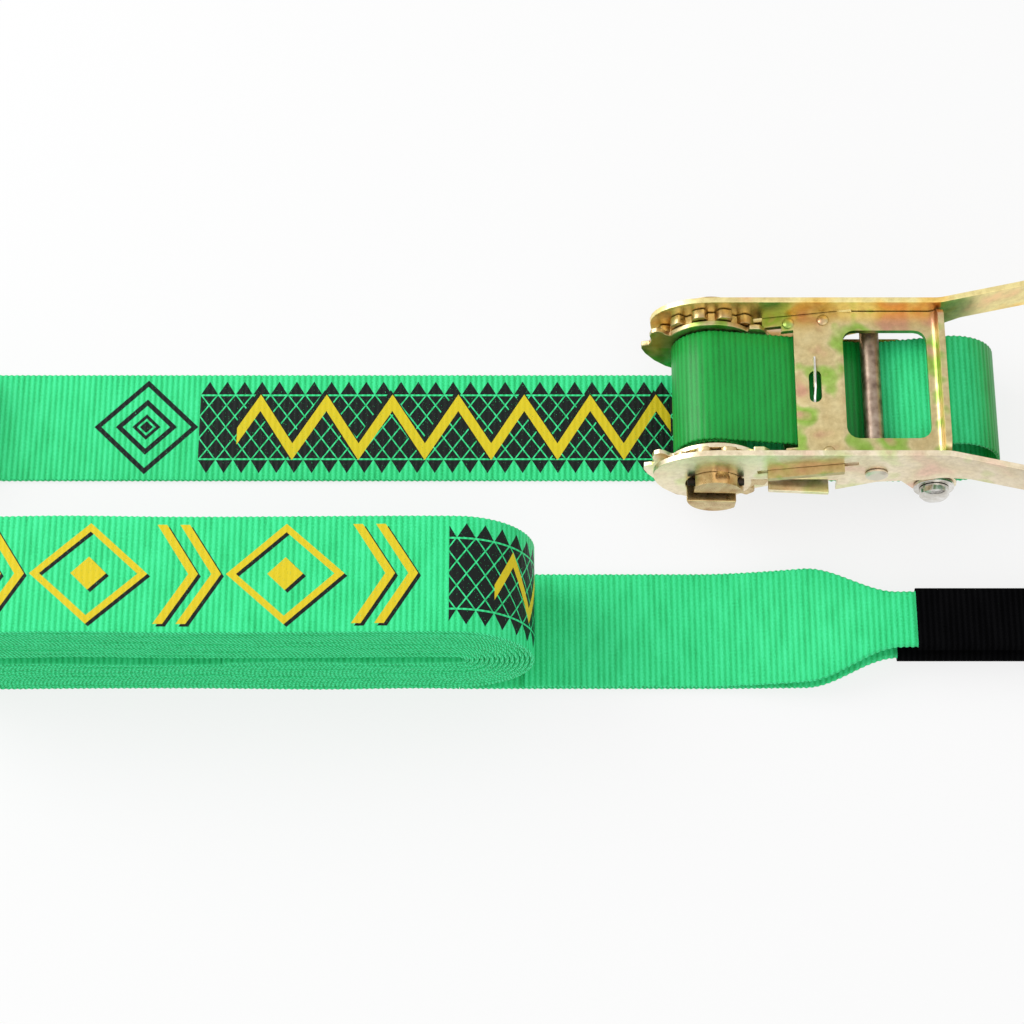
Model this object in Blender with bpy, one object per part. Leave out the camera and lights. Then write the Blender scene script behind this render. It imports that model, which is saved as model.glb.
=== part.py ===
# Slackline kit: a hand ratchet on a short webbing strap, and the long line wound up flat beside it.
# Metres, +Z up. The ratchet's spindle lies along Y. +X runs from the spindle to the handle's grip.
# The origin is on the floor, under the middle of the ratchet.
import math

import bmesh
import bpy
import numpy as np

for old in list(bpy.data.objects):
    bpy.data.objects.remove(old, do_unlink=True)

# Gaps
CLEAR = 0.0003           # between pieces that touch or run on each other
OVERRUN = 0.004          # how far a cutter runs past what it cuts

# Webbing
WEB_WIDTH = 0.050
WEB_THICK = 0.0015
LAYER_GAP = 0.0005       # between two layers of a roll

# Spindle
SPINDLE_HEIGHT = 0.026
SHAFT_R = 0.01175
SHAFT_SLOT = 0.0036
SLOT_TILT = math.radians(-3.0)
HALF_IN = 0.0089         # each half shaft stops this far from the axis on one side
NEAR_PROUD_UPPER = 0.0050
NEAR_PROUD_LOWER = 0.0072
FAR_PROUD = 0.0086
PIN_R = 0.0016
PIN_DZ = 0.0060
PIN_STANDOFF = 0.0020    # roll pin's axis, measured from the handle's outer face
PIN_PROUD = 0.0014
CROSS_HOLE_R = 0.0030
CROSS_HOLE_SHIFT = 0.0024
WIND_TURNS = 0.45
BEND_R = 0.0018          # where the webbing turns out of the slot

# Side stack, measured outwards from the ratchet's centre plane
STRAP_ASIDE = 0.0015     # the strap lies this far to the far side in the ratchet
SIDE_PLAY = 0.0018       # half of what the ratchet is wider than the webbing
BASE_PLATE_THICK = 0.0022
WHEEL_SIDE_GAP = 0.0003
WHEEL_THICK = 0.0040
HANDLE_THICK = 0.0024

# Toothed wheels
TEETH = 12
WHEEL_R = 0.0225
TOOTH_DEPTH = 0.004
# One tooth: share of the pitch angle, share of the tooth's depth
TOOTH_SHARES = ((0.0, 0.0), (0.06, 0.70), (0.10, 0.94), (0.15, 1.0), (0.42, 1.0), (0.54, 0.86),
                (0.62, 0.60), (0.67, 0.30), (0.70, 0.0))

# Base plates
CAM_R = 0.0202
CAM_START = math.radians(150.0)
CAM_END = math.radians(46.0)
NOSE_REACH = 0.029       # spindle axis to the nose's tip
ARM_TOP = 0.0035         # arm's top edge above the spindle axis, below the cross rod
ARM_LOW = -0.0125
ARM_SHOULDER_DX = 0.0780
ARM_END_R = 0.0095
ARM_END_TURN = math.radians(55.0)
BOLT_DX = 0.0924         # spindle to base bolt
BOLT_DZ = -0.0165
# Underside from the arm to the nose: shares of the nose's reach
BELLY_SHARES = ((1.55, -0.43), (0.90, -0.57), (0.34, -0.845))
# Nose of the base plate, from its underside over the tip to the horn: shares of the nose's reach
NOSE_SHARES = ((-0.21, -0.90), (-0.45, -0.72), (-0.63, -0.60), (-0.80, -0.42), (-0.94, -0.20),
               (-1.0, -0.05), (-1.0, 0.05), (-0.89, 0.08), (-0.865, 0.20), (-0.895, 0.33),
               (-0.875, 0.44), (-0.80, 0.49), (-0.72, 0.45), (-0.66, 0.38))
# Locking notch and stop on the handle side: shares of the cam radius
STOP_SHARES = ((0.72, 0.70), (0.75, 0.82), (0.95, 0.82), (1.06, 0.72), (1.13, 0.55))

# Base bolt set
BOLT_R = 0.0040
BOLT_HEAD_R = 0.0062
BOLT_HEAD_HIGH = 0.0045
BOLT_DOME_SHARES = ((0.0, 1.0), (0.45, 1.0), (0.80, 0.86), (1.0, 0.62))
WASHER_R = 0.0085
WASHER_THICK = 0.0015
NUT_R = 0.0075
NUT_HIGH = 0.0042
BOLT_TAIL = 0.0016
SLEEVE_R = 0.0052

# Lock pawl, a flat plate in slots of the base plates
LOCK_THICK = 0.0022
LOCK_SLOPE = math.radians(-6.0)
LOCK_START_DX = 0.0210   # a point on the plate's middle
LOCK_START_DZ = 0.0003
LOCK_NOSE_GAP = 0.0006   # nose to the wheels' tips at rest
LOCK_TAB_DX = 0.0218
LOCK_FRONT_DX = 0.0290
LOCK_BACK_DX = 0.0468
LOCK_ENGAGE = 0.0038     # from rest into the tooth gap
LOCK_TRAVEL = 0.0015     # from rest to its back stop
TAB_PROUD = 0.0036       # thumb tabs, past the handle's outer face

# Handle
HANDLE_TOP = 0.0272      # top edge above the spindle axis
HANDLE_NOSE = 0.0256
HANDLE_NOSE_DZ = 0.0090
HANDLE_BOTTOM = 0.0150
HANDLE_NECK_DX = 0.0146  # behind here a bay in the lower edge clears the lock pawl's tabs
HANDLE_BAY_DX = 0.0500
HANDLE_BAY_DZ = 0.0040
HANDLE_MID_DZ = -0.0060
HANDLE_ARM_DZ = 0.0092
HANDLE_ARM_DX = 0.104
# Lower edge between the bay and the arm: shares of the way there
HANDLE_EDGE_SHARES = ((0.30, 0.50), (0.66, 0.62))
HANDLE_REACH = 0.217
FLARE_DX = 0.093
FLARE_LENGTH = 0.0465
FLARE_ANGLE = math.radians(12.5)
FLARE_R = 0.018
CROSS_R = 0.0040
CROSS_DX = 0.0652
CROSS_DZ = 0.0100
RIVET_R = 0.0047
RIVET_HIGH = 0.0014
RIVET_SHARE = 0.70       # flat of the rivet head, as a share of its radius
GRIP_INSET = 0.0170      # grip rod, in from the handle's end
GRIP_R = 0.0105

# Drive pawl, a bent plate between the handle's sides
PAWL_THICK = 0.0025
PAWL_SLOPE = math.radians(12.2)
PAWL_NOSE_GAP = 0.0006   # nose to the wheels' tips
PAWL_START_DX = 0.0180
PAWL_START_DZ = 0.0108
PAWL_BEND_DX = 0.0520
PAWL_LIP_DX = 0.0930
PAWL_LIP_DZ = 0.0265
PAWL_BEND_R = 0.0040
PAWL_EDGE_DX = 0.0333
PAWL_SHOULDER_DX = 0.0285
PAWL_TAB_LENGTH = 0.0305
PAWL_ENGAGE = 0.0034     # from rest into the tooth gap
PAWL_TRAVEL = 0.0052     # from rest to its back stop
LIP_CORNER_R = 0.0060
WINDOW_DX = (0.0530, 0.0875)
WINDOW_HALF = 0.0246
WINDOW_R = 0.0050
HOOK_SLOT_DX = 0.0412
HOOK_SLOT_HALF = 0.0072
HOOK_SLOT_R = 0.0025
WIRE_R = 0.0007
# The wire's height points, from its standing end to its free end: shares of the slot's half length
HOOK_SHARES = (1.8, 0.75, 0.0, -0.45, -0.75, -2.0)
DIMPLE_R = 0.0026
DIMPLE_HIGH = 0.0012
DIMPLE_DX = 0.0316
DIMPLE_IN = 0.0032       # dimple's centre, in from the plate's edge

# Ratchet strap
BIGHT_R = 0.0183         # centreline radius of the bight behind the base bolt
BIGHT_REACH = 0.0998
WRAP_END = math.radians(285.0)
STRAP_RUN_LENGTH = 0.3130       # spindle to where the floor run meets its roll
STRAP_ROLL_LENGTH = 0.100
STRAP_ROLL_TURNS = 6

# Line
LINE_OFFSET = 0.093      # centre plane of the line, on the near side of the strap's
LINE_ROLL_DX = -0.0728   # the roll's right end
LINE_ROLL_LENGTH = 0.2514
LINE_ROLL_TURNS = 15
CORE_R = 0.00115         # centreline radius of the innermost bend
LEG_SPLIT_DX = -0.0082
LEG_OVERLAP_LENGTH = 0.0700  # the folded-back layer lies on the tail this far
EYE_DX = 0.2010          # inner side of the eye's far bend
SLEEVE_DX = 0.0810
TAPER_SHARE = 0.50       # where the width starts to draw in, from the split to the sleeve
SLEEVE_STAGGER = 0.007   # the lower end of the sleeve starts this much further left
FOLD_WIDTH = 0.0246
FOLD_THICK = 0.0030
SLEEVE_WALL = 0.0008
LEG_ARCH = 0.0125        # height of the upper leg at the sleeve

# Worked out from the sizes above
PITCH = WEB_THICK + LAYER_GAP
BASE_IN = WEB_WIDTH / 2 + SIDE_PLAY
BASE_OUT = BASE_IN + BASE_PLATE_THICK
WHEEL_IN = BASE_OUT + WHEEL_SIDE_GAP
WHEEL_OUT = WHEEL_IN + WHEEL_THICK
HANDLE_IN = WHEEL_OUT + WHEEL_SIDE_GAP
HANDLE_OUT = HANDLE_IN + HANDLE_THICK
SPINDLE_X = -(HANDLE_REACH - NOSE_REACH) / 2
FLOOR = -SPINDLE_HEIGHT
WIND_START_R = SHAFT_R + CLEAR + WEB_THICK / 2 + CLEAR / 2
WRAP_R = WIND_START_R + PITCH * WIND_TURNS + WEB_THICK + LAYER_GAP
SLOPE = (math.cos(PAWL_SLOPE), math.sin(PAWL_SLOPE))


def material(name, colour, roughness, metallic):
    mat = bpy.data.materials.new(name)
    mat.use_nodes = True
    shader = mat.node_tree.nodes["Principled BSDF"]
    shader.inputs["Base Color"].default_value = (*colour, 1.0)
    shader.inputs["Roughness"].default_value = roughness
    shader.inputs["Metallic"].default_value = metallic
    return mat


def axis_empty(name):
    empty = bpy.data.objects.new(name, None)
    empty.empty_display_size = SHAFT_R
    empty.location = (SPINDLE_X, 0, SPINDLE_HEIGHT)
    bpy.context.scene.collection.objects.link(empty)
    return empty


# Every body hangs on an empty that sits on the spindle axis
BASE = axis_empty("base_axis")
SPINDLE = axis_empty("spindle_axis")
HANDLE = axis_empty("handle_axis")
DRIVE = axis_empty("drive_pawl_slide")
LOCK = axis_empty("lock_pawl_slide")


def add(name, verts, faces, parent, look=None, smooth=False):
    """A mesh object in the spindle's frame, with its faces turned outwards."""
    mesh = bpy.data.meshes.new(name)
    bm = bmesh.new()
    points = [bm.verts.new(v) for v in verts]
    for face in faces:
        bm.faces.new([points[i] for i in face])
    bmesh.ops.recalc_face_normals(bm, faces=bm.faces)
    bm.to_mesh(mesh)
    bm.free()
    obj = bpy.data.objects.new(name, mesh)
    obj.parent = parent
    bpy.context.scene.collection.objects.link(obj)
    if look:
        mesh.materials.append(material(name, *look))
    else:
        obj.hide_render = True
        obj.display_type = "WIRE"
    if smooth:
        mesh.shade_smooth()
        mesh.set_sharp_from_angle(angle=math.radians(35.0))
    return obj


def prism(name, outline, low, high, parent, look=None, along="Y"):
    """An outline extruded along one axis. It lies in XZ, or in XY for Z, or in YZ for X."""
    count = len(outline)
    verts = []
    for level in (low, high):
        for a, b in outline:
            verts.append({"Y": (a, level, b), "Z": (a, b, level), "X": (level, a, b)}[along])
    faces = [list(range(count)), list(range(count, 2 * count))]
    faces += [(i, (i + 1) % count, (i + 1) % count + count, i + count) for i in range(count)]
    return add(name, verts, faces, parent, look)


def turned(name, profile, centre, parent, look=None, bore=False, steps=32):
    """A profile of (place along Y, radius) turned about a line along Y."""
    verts = []
    for along, radius in profile:
        for k in range(steps):
            a = 2 * math.pi * k / steps
            verts.append((centre[0] + radius * math.cos(a), along, centre[1] + radius * math.sin(a)))
    rows = len(profile)
    faces = []
    for row in range(rows if bore else rows - 1):
        here = row * steps
        there = (row + 1) % rows * steps
        for k in range(steps):
            n = (k + 1) % steps
            faces.append((here + k, here + n, there + n, there + k))
    if not bore:
        faces += [list(range(steps)), list(range((rows - 1) * steps, rows * steps))]
    return add(name, verts, faces, parent, look, smooth=True)


def tube(name, inner, outer, low, high, centre, parent, look):
    profile = ((low, inner), (low, outer), (high, outer), (high, inner))
    return turned(name, profile, centre, parent, look, bore=True)


def boolean(obj, other, operation="DIFFERENCE"):
    mod = obj.modifiers.new(other.name, "BOOLEAN")
    mod.object = other
    mod.operation = operation
    mod.solver = "EXACT"


def drill(obj, name, radius, centre, low, high, steps=32):
    span = ((low, radius), (high, radius))
    boolean(obj, turned(name, span, centre, obj.parent, steps=steps))


def arc(centre, radius, start, end, steps):
    """Points from angle start to angle end, both in radians."""
    return [(centre[0] + radius * math.cos(start + (end - start) * k / steps),
             centre[1] + radius * math.sin(start + (end - start) * k / steps))
            for k in range(steps + 1)]


def rounded(points, radius, steps=5):
    """The same open line with its corners turned on a radius."""
    line = [points[0]]
    for before, here, after in zip(points, points[1:], points[2:]):
        a = np.subtract(before, here)
        b = np.subtract(after, here)
        a = a / np.linalg.norm(a)
        b = b / np.linalg.norm(b)
        half = math.acos(np.clip(np.dot(a, b), -1, 1)) / 2
        back = radius / math.tan(half)
        middle = np.add(here, (a + b) / np.linalg.norm(a + b) * radius / math.sin(half))
        first = np.add(here, a * back) - middle
        last = np.add(here, b * back) - middle
        start = math.atan2(first[1], first[0])
        turn = math.atan2(first[0] * last[1] - first[1] * last[0], np.dot(first, last))
        line += arc(middle, radius, start, start + turn, steps)
    return line + [points[-1]]


def normals(points):
    """Left-hand normals at each point, lengthened so that offset lines stay parallel."""
    line = np.array(points)
    step = np.diff(line, axis=0)
    step = step / np.linalg.norm(step, axis=1)[:, None]
    left = np.stack([-step[:, 1], step[:, 0]], axis=1)
    both = np.vstack([left[:1], left[:-1] + left[1:], left[-1:]])
    both = both / np.linalg.norm(both, axis=1)[:, None]
    reach = np.concatenate([[1], np.sum(both[1:-1] * left[1:], axis=1), [1]])
    return both / reach[:, None]


def sheet_outline(points, thickness):
    """The closed outline of a sheet of this thickness that follows an open line."""
    side = normals(points) * thickness / 2
    left = np.array(points) + side
    right = np.array(points) - side
    return [tuple(p) for p in left] + [tuple(p) for p in right[::-1]]


def ribbon(name, points, middle, parent, look, widths=WEB_WIDTH, thicks=WEB_THICK, hollow=None):
    """Webbing along a line in XZ. With hollow (width, thickness) it is a flat sleeve."""
    count = len(points)
    wide = np.broadcast_to(widths, count)
    thick = np.broadcast_to(thicks, count)
    side = normals(points)
    verts = []
    for k in range(count):
        rings = [(wide[k], thick[k])] + ([hollow] if hollow else [])
        for w, t in rings:
            for sy, sz in ((-1, 1), (1, 1), (1, -1), (-1, -1)):
                x, z = np.array(points[k]) + side[k] * t / 2 * sz
                verts.append((x, middle + w / 2 * sy, z))
    size = 8 if hollow else 4
    faces = []
    for k in range(count - 1):
        for ring in range(size // 4):
            for c in range(4):
                a = k * size + ring * 4 + c
                b = k * size + ring * 4 + (c + 1) % 4
                faces.append((a, b, b + size, a + size))
    for end in (0, (count - 1) * size):
        if hollow:
            for c in range(4):
                n = (c + 1) % 4
                faces.append((end + c, end + n, end + 4 + n, end + 4 + c))
        else:
            faces.append((end, end + 1, end + 2, end + 3))
    return add(name, verts, faces, parent, look, smooth=True)


def wire(name, points, radius, parent, look, resolution=2):
    curve = bpy.data.curves.new(name, "CURVE")
    curve.dimensions = "3D"
    curve.bevel_depth = radius
    curve.bevel_resolution = resolution
    curve.use_fill_caps = True
    spline = curve.splines.new("POLY")
    spline.points.add(len(points) - 1)
    for point, place in zip(spline.points, points):
        point.co = (*place, 1)
    curve.materials.append(material(name, *look))
    obj = bpy.data.objects.new(name, curve)
    obj.parent = parent
    bpy.context.scene.collection.objects.link(obj)
    return obj


def least_gap(points, thickness, skip):
    """The smallest clear gap between two stretches of a strip, measured from each point to each run."""
    line = np.array(points)
    start = line[:-1]
    run = line[1:] - start
    along = np.concatenate([[0], np.cumsum(np.linalg.norm(run, axis=1))])
    best = math.inf
    for place, at in zip(line, along):
        share = np.clip(np.sum((place - start) * run, axis=1) / np.sum(run * run, axis=1), 0, 1)
        far = np.linalg.norm(start + run * share[:, None] - place, axis=1)
        apart = (along[:-1] - at > skip) | (at - along[1:] > skip)
        if apart.any():
            best = min(best, far[apart].min())
    return best - thickness


def angle(point, centre):
    return math.atan2(point[1] - centre[1], point[0] - centre[0])


def ease(t):
    """0 to 1 with a soft start and end."""
    return t * t * (3 - 2 * t)


def tangent(first, second):
    """The straight run between two circles (centre, signed radius), positive where it turns left."""
    (c1, r1), (c2, r2) = first, second
    gap = np.subtract(c2, c1)
    way = math.atan2(gap[1], gap[0]) - math.asin((r2 - r1) / np.linalg.norm(gap))
    left = np.array((-math.sin(way), math.cos(way)))
    return np.array(c1) - left * r1, np.array(c2) - left * r2


def flat_roll(right, length, turns):
    """A strip wound flat, from its outer end on the floor to its inner end in the slit."""
    outer = CORE_R + PITCH * turns
    centre = FLOOR + WEB_THICK / 2 + outer
    ends = (right - outer - WEB_THICK / 2, right - length + outer + WEB_THICK / 2)
    points = []
    radius = outer
    for half in range(2 * turns):
        low = half % 2 == 0
        here = ends[half % 2]
        there = ends[1 - half % 2]
        level = centre + (-radius if low else radius)
        for k in range(4):
            points.append((here + (there - here) * k / 4, level))
        start = -math.pi / 2 if low else math.pi / 2
        for k in range(8):
            a = start - math.pi * k / 8
            r = radius - PITCH / 2 * k / 8
            points.append((there + r * math.cos(a), centre + r * math.sin(a)))
        radius -= PITCH / 2
    points += [(ends[0], centre - radius), ((ends[0] + ends[1]) / 2, centre - radius)]
    return points


ZINC = ((0.70, 0.60, 0.38), 0.34, 1.0)
ROD = ((0.36, 0.30, 0.26), 0.50, 1.0)
BRIGHT = ((0.78, 0.78, 0.76), 0.16, 1.0)
PIN = ((0.10, 0.09, 0.08), 0.50, 1.0)
GREEN = ((0.03, 0.60, 0.24), 0.80, 0.0)
BLACK = ((0.012, 0.012, 0.014), 0.90, 0.0)

# Base plates
low_left = [(x * NOSE_REACH, z * NOSE_REACH) for x, z in NOSE_SHARES]
low_left[0] = (low_left[0][0], FLOOR)
cam = arc((0, 0), CAM_R, CAM_START, CAM_END, 14)
stop = [(x * CAM_R, z * CAM_R) for x, z in STOP_SHARES]
bolt = (BOLT_DX, BOLT_DZ)
back = [(ARM_SHOULDER_DX, ARM_TOP)] + arc(bolt, ARM_END_R, ARM_END_TURN, ARM_END_TURN - math.pi, 12)
back += [(ARM_SHOULDER_DX, ARM_LOW)] + [(x * NOSE_REACH, z * NOSE_REACH) for x, z in BELLY_SHARES]
base_outline = low_left + cam + stop + [(stop[-1][0] + OVERRUN, ARM_TOP)] + back
lock_line = [(x, LOCK_START_DZ + (x - LOCK_START_DX) * math.tan(LOCK_SLOPE))
             for x in (LOCK_FRONT_DX - LOCK_ENGAGE - CLEAR, LOCK_BACK_DX + LOCK_TRAVEL + CLEAR)]
lock_slot = sheet_outline(lock_line, LOCK_THICK + 2 * CLEAR)
for side, sign in (("far", 1), ("near", -1)):
    low, high = sorted((sign * BASE_IN, sign * BASE_OUT))
    plate = prism("base_plate_" + side, base_outline, low, high, BASE, ZINC)
    cut = (low - OVERRUN, high + OVERRUN)
    drill(plate, "cut_base_spindle_" + side, SHAFT_R + CLEAR, (0, 0), *cut)
    drill(plate, "cut_base_bolt_" + side, BOLT_R + CLEAR, bolt, *cut)
    boolean(plate, prism("cut_base_lock_" + side, lock_slot, *cut, BASE))

# Base bolt, with its head on the near side
head = -(BASE_OUT + CLEAR + WASHER_THICK + CLEAR)
tip = BASE_OUT + CLEAR + NUT_HIGH + BOLT_TAIL
dome = [(head - BOLT_HEAD_HIGH * h, BOLT_HEAD_R * r) for r, h in BOLT_DOME_SHARES[1:]]
turned("anchor_bolt", dome + [(head, BOLT_HEAD_R), (head, BOLT_R), (tip, BOLT_R)], bolt, BASE, BRIGHT)
tube("anchor_washer", BOLT_R + CLEAR, WASHER_R, -(BASE_OUT + CLEAR + WASHER_THICK),
     -(BASE_OUT + CLEAR), bolt, BASE, BRIGHT)
tube("anchor_sleeve", BOLT_R + CLEAR, SLEEVE_R, CLEAR - BASE_IN, BASE_IN - CLEAR, bolt, BASE, ROD)
hexagon = [(bolt[0] + x, bolt[1] + z) for x, z in arc((0, 0), NUT_R, 0, math.radians(300.0), 5)]
nut = prism("anchor_nut", hexagon, BASE_OUT + CLEAR, BASE_OUT + CLEAR + NUT_HIGH, BASE, BRIGHT)
drill(nut, "cut_nut", BOLT_R + CLEAR, bolt, BASE_OUT - OVERRUN, BASE_OUT + NUT_HIGH + OVERRUN)

# Spindle: two half shafts with a slot between them
slot_half = math.asin(SHAFT_SLOT / 2 / SHAFT_R)
half_turn = math.acos(-HALF_IN / SHAFT_R)
for part, turn, near in (("upper", 0.0, NEAR_PROUD_UPPER), ("lower", math.pi, NEAR_PROUD_LOWER)):
    start = SLOT_TILT + turn
    outline = arc((0, 0), SHAFT_R, start + slot_half, start + half_turn, 14)
    corner = (-HALF_IN, SHAFT_SLOT / 2)
    outline.append((corner[0] * math.cos(start) - corner[1] * math.sin(start),
                    corner[0] * math.sin(start) + corner[1] * math.cos(start)))
    half = prism("spindle_half_" + part, outline, -(HANDLE_OUT + near), HANDLE_OUT + FAR_PROUD,
                 SPINDLE, ZINC)
    if part == "upper":
        for side, sign in (("near", -1), ("far", 1)):
            place = sign * (HANDLE_OUT + PIN_STANDOFF)
            ring = arc((place, PIN_DZ), PIN_R + CLEAR, 0, math.radians(330.0), 11)
            bore = prism("cut_pin_" + side, ring, -SHAFT_R - OVERRUN, SHAFT_R + OVERRUN, SPINDLE, along="X")
            boolean(half, bore)
    half.data.shade_smooth()
    half.data.set_sharp_from_angle(angle=math.radians(35.0))
hole = arc((CROSS_HOLE_SHIFT, -(HANDLE_OUT + PIN_STANDOFF)), CROSS_HOLE_R, 0, math.radians(340.0), 17)
boolean(bpy.data.objects["spindle_half_upper"],
        prism("cut_cross_hole", hole, PIN_DZ + PIN_R + 2 * CLEAR, SHAFT_R + OVERRUN, SPINDLE, along="Z"))
for side, sign in (("near", -1), ("far", 1)):
    place = sign * (HANDLE_OUT + PIN_STANDOFF)
    reach = math.sqrt(SHAFT_R ** 2 - PIN_DZ ** 2) + PIN_PROUD
    wire("roll_pin_" + side, [(-reach, place, PIN_DZ), (reach, place, PIN_DZ)], PIN_R, SPINDLE, PIN)

# Toothed wheels, with a gap between teeth in front of the lock pawl's noses
lock_nose = WHEEL_R + LOCK_NOSE_GAP
seated = lock_nose - LOCK_ENGAGE * math.cos(LOCK_SLOPE)
seated_top = LOCK_START_DZ + (seated - LOCK_START_DX) * math.tan(LOCK_SLOPE) + LOCK_THICK / 2
root_r = WHEEL_R - TOOTH_DEPTH
pitch_angle = 2 * math.pi / TEETH
phase = math.atan2(seated_top, seated) + 2 * CLEAR / root_r
teeth = []
for k in range(TEETH):
    for share, depth in TOOTH_SHARES:
        a = phase + (k + share) * pitch_angle
        r = root_r + TOOTH_DEPTH * depth
        teeth.append((r * math.cos(a), r * math.sin(a)))
for side, sign in (("far", 1), ("near", -1)):
    low, high = sorted((sign * WHEEL_IN, sign * WHEEL_OUT))
    wheel = prism("ratchet_wheel_" + side, teeth, low, high, SPINDLE, ZINC)
    drill(wheel, "cut_wheel_" + side, SHAFT_R + CLEAR, (0, 0), low - OVERRUN, high + OVERRUN)

# Lock pawl
inner = BASE_OUT + CLEAR
nose_out = HANDLE_IN - CLEAR
tab_out = HANDLE_OUT + TAB_PROUD
half_plan = [(LOCK_FRONT_DX, inner), (lock_nose, inner), (lock_nose, nose_out),
             (LOCK_TAB_DX, nose_out + CLEAR), (LOCK_TAB_DX, tab_out), (LOCK_BACK_DX, tab_out)]
plan = half_plan + [(x, -y) for x, y in half_plan[::-1]]
lock_line = [(x, LOCK_START_DZ + (x - LOCK_START_DX) * math.tan(LOCK_SLOPE))
             for x in (LOCK_TAB_DX - OVERRUN, LOCK_BACK_DX + OVERRUN)]
lock = prism("lock_pawl", sheet_outline(lock_line, LOCK_THICK), -tab_out - OVERRUN, tab_out + OVERRUN,
             LOCK, ZINC)
boolean(lock, prism("keep_lock_plan", plan, -ARM_END_R, ARM_END_R, LOCK, along="Z"), "INTERSECT")

# Handle sides: a bent sheet kept inside the side outline
nose = [(-HANDLE_NOSE * math.sin(a), HANDLE_NOSE_DZ + (HANDLE_TOP - HANDLE_NOSE_DZ) * math.cos(a))
        for a in np.linspace(0, math.pi / 2, 9)]
nose += [(-HANDLE_NOSE * math.cos(a), HANDLE_NOSE_DZ - (HANDLE_BOTTOM + HANDLE_NOSE_DZ) * math.sin(a))
         for a in np.linspace(0, math.pi / 2, 9)[1:]]
neck = math.asin(HANDLE_BAY_DZ / HANDLE_NECK_DX)
edge = arc((0, 0), HANDLE_BOTTOM, -math.pi / 2, neck, 8)[1:]
edge += [(HANDLE_BAY_DX, HANDLE_BAY_DZ), (HANDLE_BAY_DX, HANDLE_MID_DZ)]
edge += [(HANDLE_BAY_DX + (HANDLE_ARM_DX - HANDLE_BAY_DX) * x,
          HANDLE_MID_DZ + (HANDLE_ARM_DZ - HANDLE_MID_DZ) * z) for x, z in HANDLE_EDGE_SHARES]
edge.append((HANDLE_ARM_DX, HANDLE_ARM_DZ))
arm_r = (HANDLE_TOP - HANDLE_ARM_DZ) / 2
edge += arc((HANDLE_REACH - arm_r, (HANDLE_TOP + HANDLE_ARM_DZ) / 2), arm_r, -math.pi / 2, math.pi / 2, 12)
side_outline = nose + edge
flare = FLARE_LENGTH * math.tan(FLARE_ANGLE)
mid = (HANDLE_IN + HANDLE_OUT) / 2
route = [(-HANDLE_NOSE - OVERRUN, mid), (FLARE_DX, mid), (FLARE_DX + FLARE_LENGTH, mid + flare),
         (HANDLE_REACH + OVERRUN, mid + flare)]
route = rounded(route, FLARE_R)


def pawl_line(x):
    return PAWL_START_DZ + (x - PAWL_START_DX) * SLOPE[1] / SLOPE[0]


# The drive pawl's noses stop just outside the wheels' tips, and its tabs start there too
pawl_nose = PAWL_START_DX
for _ in range(TEETH):
    pawl_nose = math.sqrt((WHEEL_R + PAWL_NOSE_GAP) ** 2
                          - (pawl_line(pawl_nose) - PAWL_THICK / 2 / SLOPE[0]) ** 2)
tab_end = pawl_nose + PAWL_TAB_LENGTH
slot_ends = (pawl_nose - PAWL_ENGAGE - 2 * CLEAR, tab_end + PAWL_TRAVEL + 2 * CLEAR)
slot_line = [(x, pawl_line(x)) for x in slot_ends]
slot_outline = sheet_outline(slot_line, PAWL_THICK + 2 * CLEAR)
arm_mid = (HANDLE_TOP + HANDLE_ARM_DZ) / 2
grip = (HANDLE_REACH - GRIP_INSET, arm_mid)
cross = (CROSS_DX, CROSS_DZ)
arm_out = mid + flare + HANDLE_THICK / 2
arm_in = arm_out - HANDLE_THICK
for side, sign in (("far", 1), ("near", -1)):
    bent = [(x, sign * y) for x, y in sheet_outline(route, HANDLE_THICK)]
    plate = prism("handle_side_" + side, bent, -HANDLE_BOTTOM - OVERRUN, HANDLE_TOP + OVERRUN,
                  HANDLE, ZINC, along="Z")
    low, high = sorted((sign * (HANDLE_IN - OVERRUN), sign * (arm_out + OVERRUN)))
    boolean(plate, prism("keep_handle_" + side, side_outline, low, high, HANDLE), "INTERSECT")
    drill(plate, "cut_handle_spindle_" + side, SHAFT_R + CLEAR, (0, 0), low, high)
    drill(plate, "cut_handle_rod_" + side, CROSS_R + CLEAR, cross, low, high)
    drill(plate, "cut_handle_grip_" + side, CROSS_R + CLEAR, grip, low, high)
    boolean(plate, prism("cut_handle_slot_" + side, slot_outline, low, high, HANDLE))


def headed_rod(name, centre, face, look):
    out = face + CLEAR
    flat = RIVET_R * RIVET_SHARE
    profile = [(-out - RIVET_HIGH, flat), (-out - RIVET_HIGH / 2, RIVET_R), (-out, RIVET_R),
               (-out, CROSS_R), (out, CROSS_R), (out, RIVET_R), (out + RIVET_HIGH / 2, RIVET_R),
               (out + RIVET_HIGH, flat)]
    turned(name, profile, centre, HANDLE, look, steps=28)


headed_rod("cross_rod", cross, HANDLE_OUT, ROD)
headed_rod("grip_rod", grip, arm_out, ROD)
tube("grip_tube", CROSS_R + CLEAR, GRIP_R, CLEAR - arm_in, arm_in - CLEAR, grip, HANDLE, ZINC)

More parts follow.
